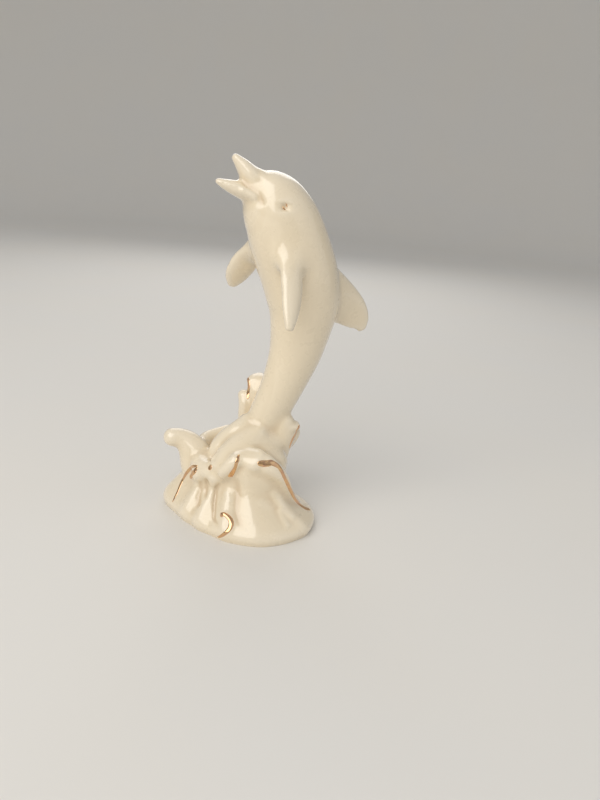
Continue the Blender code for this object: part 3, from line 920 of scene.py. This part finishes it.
bare.set(
    Base_Color=bare.blend(noise(bare, BARE_STAINS) * STAIN_SHARE, BARE_BODY, PAINTED_SHADE_AND_STAIN_IVORY),
    Roughness=grain * BARE_ROUGHNESS_RANGE + BARE_ROUGHNESS,
    Normal=bumps(bare, BARE_GRAIN_STRENGTH, BARE_GRAIN_HEIGHT, grain),
)
figurine.data.materials.clear()
figurine.data.materials.append(glaze.material)
figurine.data.materials.append(bare.material)
for polygon in figurine.data.polygons:
    if polygon.normal.z < FACING_DOWN and abs(polygon.center.z) < RIM_HEIGHT * MM:
        polygon.material_index = 1
        polygon.use_smooth = False


# The gold: liquid gold brushed on over the glaze and fired, a film with soft edges that is coppery
# where it is thin. Each stroke gives its places in pixels across and down the photograph, and the
# brush's width there in millimetres. Each eye has two small strokes, with a slit of ivory between.
GOLD = (0.80, 0.52, 0.28)
THIN_GOLD = (0.70, 0.40, 0.28)
GOLD_RISE = 0.14
GOLD_SINK = 0.30
EDGE_SINK = 0.3 * GOLD_SINK
ROUTE_STEPS = 12
BRUSH_STEP = 0.35
BRUSH_CELLS = 8
FEWEST_STEPS = 6
END_STEPS = 2.5
END_SHARE = 0.15
BRUSH_MARKS = 500.0
THIN_GOLD_FROM = 0.45
THIN_GOLD_FULL = 0.75
GOLD_ROUGHNESS = 0.08
GOLD_ROUGHNESS_RANGE = 0.12
GOLD_RIPPLES = 900.0
GOLD_RIPPLE_STRENGTH = 0.2
GOLD_RIPPLE_HEIGHT = 0.1
STROKES = {
    "gold_left_line": (
        (197.6, 466.0, 0.8), (194.4, 466.2, 1.5), (191.0, 467.8, 1.8), (187.3, 472.0, 1.8),
        (183.3, 478.5, 1.8), (180.3, 484.5, 1.7), (178.0, 490.4, 1.5), (175.1, 496.6, 1.2),
        (172.4, 502.2, 0.6),
    ),
    "gold_first_knuckle": (
        (197.2, 467.6, 1.2), (195.2, 469.9, 2.4), (193.3, 472.5, 2.8), (191.8, 475.6, 2.6),
        (190.3, 478.4, 1.8),
    ),
    "gold_second_knuckle": (
        (211.4, 464.6, 1.6), (210.3, 467.2, 2.8), (208.8, 470.2, 1.8),
    ),
    "gold_third_knuckle": (
        (239.4, 454.5, 0.8), (238.2, 456.7, 1.4), (237.6, 459.6, 1.9), (236.4, 463.0, 1.8),
        (235.2, 467.3, 1.9), (232.8, 471.8, 2.8), (230.6, 475.4, 2.8), (230.0, 477.0, 1.8),
    ),
    "gold_ridge": (
        (257.4, 463.2, 1.4), (260.0, 463.4, 3.0), (264.0, 463.6, 3.6), (268.0, 463.4, 3.4),
        (271.6, 462.6, 3.2), (275.0, 464.0, 2.9), (278.6, 466.4, 2.6), (281.6, 471.0, 2.1),
        (284.6, 477.4, 1.8), (287.5, 483.6, 1.9), (290.3, 489.3, 2.1), (293.1, 494.5, 2.4),
        (296.3, 500.0, 2.8), (300.4, 504.7, 3.2), (305.2, 508.0, 3.2), (310.2, 509.4, 2.0),
    ),
    "gold_hook": (
        (220.2, 515.2, 2.4), (221.6, 514.6, 2.6), (223.6, 514.0, 2.4), (226.8, 515.6, 2.5),
        (229.6, 518.6, 2.9), (231.3, 522.4, 3.1), (230.6, 526.6, 2.9), (228.2, 530.4, 2.5),
        (225.0, 533.4, 2.1), (221.2, 536.0, 1.6), (217.4, 537.4, 0.9),
    ),
    "gold_tall_crest": (
        (246.2, 377.9, 1.3), (247.9, 379.9, 2.4), (248.5, 385.1, 2.6), (248.1, 392.6, 2.1),
        (247.7, 399.4, 1.0),
    ),
    "gold_right_crest": (
        (299.6, 425.3, 1.4), (298.6, 428.2, 2.8), (296.2, 432.6, 3.2), (293.3, 438.4, 2.8),
        (291.0, 443.6, 2.2), (289.4, 448.6, 1.2),
    ),
}
EYE_STROKES = {
    "upper": ((285.8, 202.8, 0.3), (286.5, 204.4, 0.6), (286.9, 206.2, 0.6), (287.0, 207.8, 0.3)),
    "lower": ((283.0, 205.8, 0.3), (283.2, 207.6, 0.7), (284.4, 209.2, 0.9), (286.0, 210.2, 0.3)),
}

gold = Finish("fired gold")
brush = noise(gold, BRUSH_MARKS)
thin_places = {"Value": brush, "From Min": THIN_GOLD_FROM, "From Max": THIN_GOLD_FULL}
gold.set(
    Base_Color=gold.blend(gold.node("MapRange", inputs=thin_places), GOLD, THIN_GOLD),
    Metallic=1.0,
    Roughness=brush * GOLD_ROUGHNESS_RANGE + GOLD_ROUGHNESS,
    Normal=bumps(gold, GOLD_RIPPLE_STRENGTH, GOLD_RIPPLE_HEIGHT, noise(gold, GOLD_RIPPLES)),
)
skin = skin_tree(figurine.data)


def on_the_skin(seen):
    """The stroke's places on the skin, with its widths."""
    return [(*seen_place(skin, across, down), width) for across, down, width in seen]


def brush_stroke(name, stations):
    """A ribbon along the stroke that lies on the skin, with round ends and edges sunk into it."""
    route = smooth_stations(stations, ROUTE_STEPS)
    length = sum((Vector(b[:3]) - Vector(a[:3])).length for a, b in zip(route, route[1:]))
    steps = max(FEWEST_STEPS, round(length / BRUSH_STEP))
    laid = [route[round(step * (len(route) - 1) / steps)] for step in range(steps + 1)]
    form = bmesh.new()
    verts = bmesh.ops.create_grid(form, x_segments=steps, y_segments=BRUSH_CELLS, size=1.0)["verts"]
    for vert in verts:
        step = round((vert.co.x + 1) / 2 * steps)
        side = vert.co.y
        here = Vector(laid[step][:3])
        ahead = Vector(laid[min(step + 1, steps)][:3]) - Vector(laid[max(step - 1, 0)][:3])
        _, normal, _, _ = skin.find_nearest(here)
        across = normal.cross(ahead).normalized()
        rounding = min(1.0, math.sqrt(min(step, steps - step) / END_STEPS))
        reach = laid[step][3] / 2 * max(END_SHARE, rounding)
        foot, normal, _, _ = skin.find_nearest(here + across * side * reach)
        lift = GOLD_RISE * (1 - side**4) * rounding - EDGE_SINK * side**8
        vert.co = foot + normal * lift
    under = bmesh.ops.extrude_face_region(form, geom=form.faces[:], use_keep_orig=True)["geom"]
    for vert in (item for item in under if isinstance(item, bmesh.types.BMVert)):
        vert.co -= skin.find_nearest(vert.co)[1] * GOLD_SINK
    stroke = new_object(name, form)
    for polygon in stroke.data.polygons:
        polygon.use_smooth = True
    stroke.data.materials.append(gold.material)
    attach(stroke, "root")


for name, seen in STROKES.items():
    brush_stroke(name, on_the_skin(seen))
for name, seen in EYE_STROKES.items():
    stations = on_the_skin(seen)
    brush_stroke("gold_left_eye_" + name, stations)
    brush_stroke("gold_right_eye_" + name, [(*mirrored(station), station[3]) for station in stations])


# The studio: a pale paper floor that rises into a wall all round, three soft lamps and the light of
# a pale room.
FLOOR_RADIUS = 1300.0
FLOOR_SWEEP = 500.0
WALL_HEIGHT = 300.0
SWEEP_STEPS = 12
SWEEP_SIDES = 64
MERGED_WITHIN = 0.01
PAPER = (0.74, 0.73, 0.71)
PAPER_CLOUDS = 8.0
PAPER_CLOUD_SHARE = 0.2
ROOM_LIGHT = 0.42
LIT_PLACE = (0.0, 0.0, 80.0)
LAMPS = (
    ("key lamp", (-620.0, -420.0, 640.0), 1000.0, 7.2, (1.0, 0.97, 0.92)),
    ("fill lamp", (560.0, -520.0, 300.0), 900.0, 0.8, (0.96, 0.98, 1.0)),
    ("back lamp", (260.0, 640.0, 520.0), 600.0, 1.4, (1.0, 0.98, 0.95)),
)
sweep = bmesh.new()
profile = [(0.0, 0.0)]
profile += [
    (FLOOR_RADIUS + FLOOR_SWEEP * math.sin(turn), FLOOR_SWEEP * (1 - math.cos(turn)))
    for turn in (math.radians(FULL_TURN / 4 * step / SWEEP_STEPS) for step in range(SWEEP_STEPS + 1))
]
profile.append((FLOOR_RADIUS + FLOOR_SWEEP, FLOOR_SWEEP + WALL_HEIGHT))
corners = [sweep.verts.new((radius, 0.0, height)) for radius, height in profile]
lines = [sweep.edges.new(pair) for pair in zip(corners, corners[1:])]
bmesh.ops.spin(
    sweep,
    geom=corners + lines,
    cent=(0.0, 0.0, 0.0),
    axis=(0.0, 0.0, 1.0),
    angle=math.tau,
    steps=SWEEP_SIDES,
    use_merge=True,
)
bmesh.ops.remove_doubles(sweep, verts=sweep.verts, dist=MERGED_WITHIN)
backdrop = new_object("paper sweep", sweep)
for polygon in backdrop.data.polygons:
    polygon.use_smooth = True
paper = Finish("pale paper")
paper_clouds = noise(paper, PAPER_CLOUDS) * PAPER_CLOUD_SHARE
paper.set(Base_Color=paper.blend(paper_clouds, PAPER, PALE_IVORY_AND_PAINTED_LIGHT), Roughness=0.9)
backdrop.data.materials.append(paper.material)

world = bpy.data.worlds.new("room air")
bpy.context.scene.world = world
world.use_nodes = True
air = world.node_tree.nodes["Background"]
air.inputs["Color"].default_value = (ROOM_LIGHT, ROOM_LIGHT, ROOM_LIGHT, 1.0)
for name, place, size, power, tint in LAMPS:
    lamp = bpy.data.objects.new(name, bpy.data.lights.new(name, "AREA"))
    bpy.context.scene.collection.objects.link(lamp)
    lamp.data.size = size * MM
    lamp.data.energy = power
    lamp.data.color = tint
    aim = (Vector(LIT_PLACE) - Vector(place)).to_track_quat("-Z", "Y")
    lamp.matrix_world = Matrix.Translation(Vector(place) * MM) @ aim.to_matrix().to_4x4()
